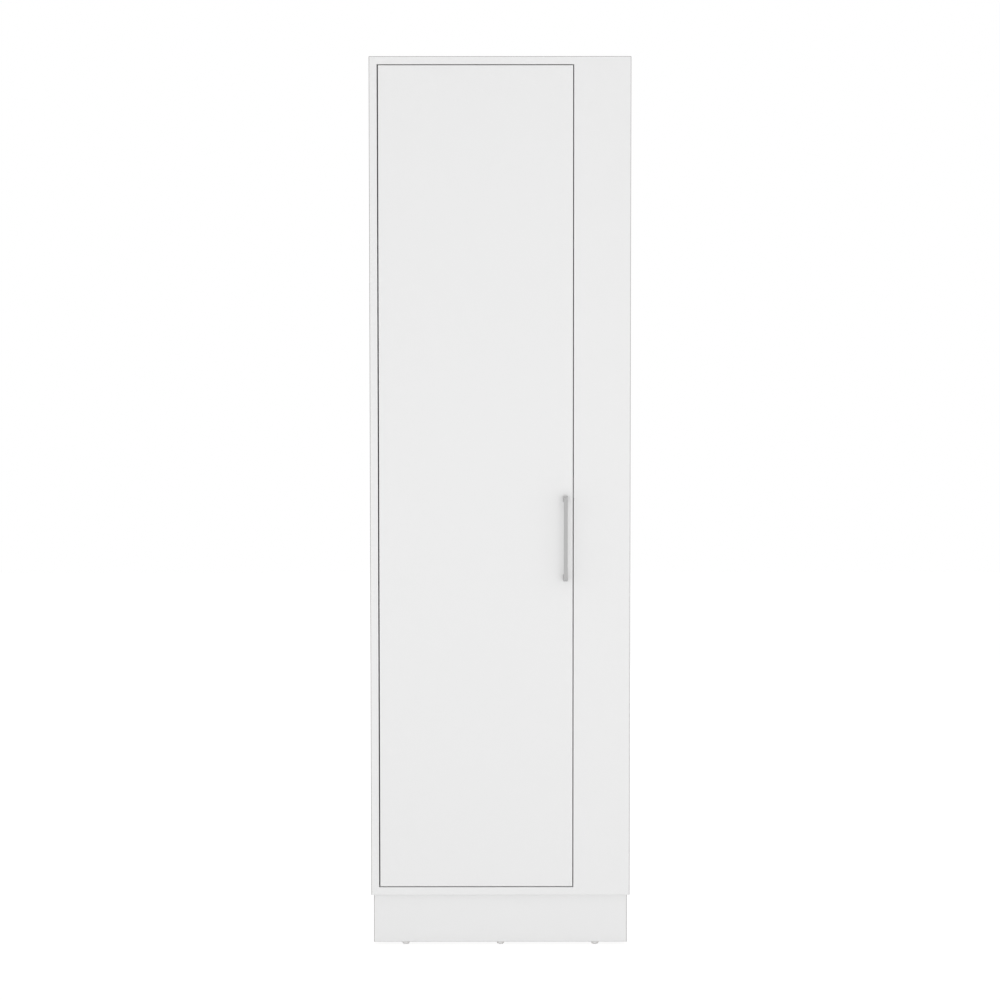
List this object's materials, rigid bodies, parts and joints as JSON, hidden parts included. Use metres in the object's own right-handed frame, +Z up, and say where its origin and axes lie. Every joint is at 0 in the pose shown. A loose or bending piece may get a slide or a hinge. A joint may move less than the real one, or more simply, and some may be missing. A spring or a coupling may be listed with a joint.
{
  "type": "broom cupboard",
  "caption": "Tall narrow white broom cupboard with an inset hinged door, a fixed front panel, an open side shelf bay, a recessed plinth and a bow handle.",
  "frame": {"origin": "on the floor, midway across the width, midway between the front of the handle and the back", "axes": "+Z up, -Y towards the front, +X to the right as seen from the front"},
  "size_m": [0.528, 0.382, 1.807],
  "materials": {
    "white_melamine": "white melamine film with a fine pearl texture",
    "fibreboard_back": "thin fibreboard, white on the inside, bare brown at the rear",
    "beech_dowels": "bare fluted beech",
    "satin_nickel": "satin nickel plate",
    "nickelled_steel": "bright nickel plate",
    "zinc_plated_steel": "blue zinc plate",
    "zinc_die_cast": "bare zinc die casting",
    "white_plastic": "moulded white plastic"
  },
  "bodies": {
    "carcass": {"back_nails": "zinc_plated_steel", "back_panel_lower": "fibreboard_back", "back_panel_upper": "fibreboard_back", "bottom_panel": "white_melamine", "broom_clip_1": "white_plastic", "broom_clip_2": "white_plastic", "broom_clip_screws": "zinc_plated_steel", "broom_rail": "white_melamine", "cam_bolts": "zinc_plated_steel", "cam_locks": "zinc_die_cast", "catch_screws": "zinc_plated_steel", "fixed_shelf": "white_melamine", "floor_glides": "white_plastic", "hinge_arm_1": "nickelled_steel", "hinge_arm_2": "nickelled_steel", "hinge_arm_3": "nickelled_steel", "hinge_arm_4": "nickelled_steel", "hinge_arm_screws": "zinc_plated_steel", "hinge_plate_1": "nickelled_steel", "hinge_plate_2": "nickelled_steel", "hinge_plate_3": "nickelled_steel", "hinge_plate_4": "nickelled_steel", "hinge_plate_screws": "zinc_plated_steel", "inner_divider": "white_melamine", "inner_shelf_1": "white_melamine", "inner_shelf_2": "white_melamine", "inner_shelf_3": "white_melamine", "left_side_panel": "white_melamine", "magnet_catch": "white_plastic", "partition_panel": "white_melamine", "plinth_back": "white_melamine", "plinth_front": "white_melamine", "plinth_left_end": "white_melamine", "plinth_right_end": "white_melamine", "right_front_panel": "white_melamine", "shelf_pins": "zinc_plated_steel", "side_bay_back_board": "white_melamine", "side_shelf_1": "white_melamine", "side_shelf_2": "white_melamine", "side_shelf_3": "white_melamine", "side_shelf_4": "white_melamine", "top_panel": "white_melamine", "wall_bracket_left": "zinc_plated_steel", "wall_bracket_right": "zinc_plated_steel", "wall_bracket_screws": "zinc_plated_steel", "wood_dowels": "beech_dowels"},
    "door": {"door_panel": "white_melamine", "hinge_cup_1": "nickelled_steel", "hinge_cup_2": "nickelled_steel", "hinge_cup_3": "nickelled_steel", "hinge_cup_4": "nickelled_steel", "hinge_cup_screws": "zinc_plated_steel", "hinge_pins": "zinc_plated_steel", "handle": "satin_nickel", "handle_screws": "zinc_plated_steel", "strike_plate": "zinc_plated_steel"}
  },
  "joints": [
    {"name": "door_swing", "type": "hinge", "parent": "carcass", "child": "door", "pos_m": [-0.231, -0.1502, 0.956], "axis": [0, 0, -1], "range_deg": [0, 105]}
  ]
}
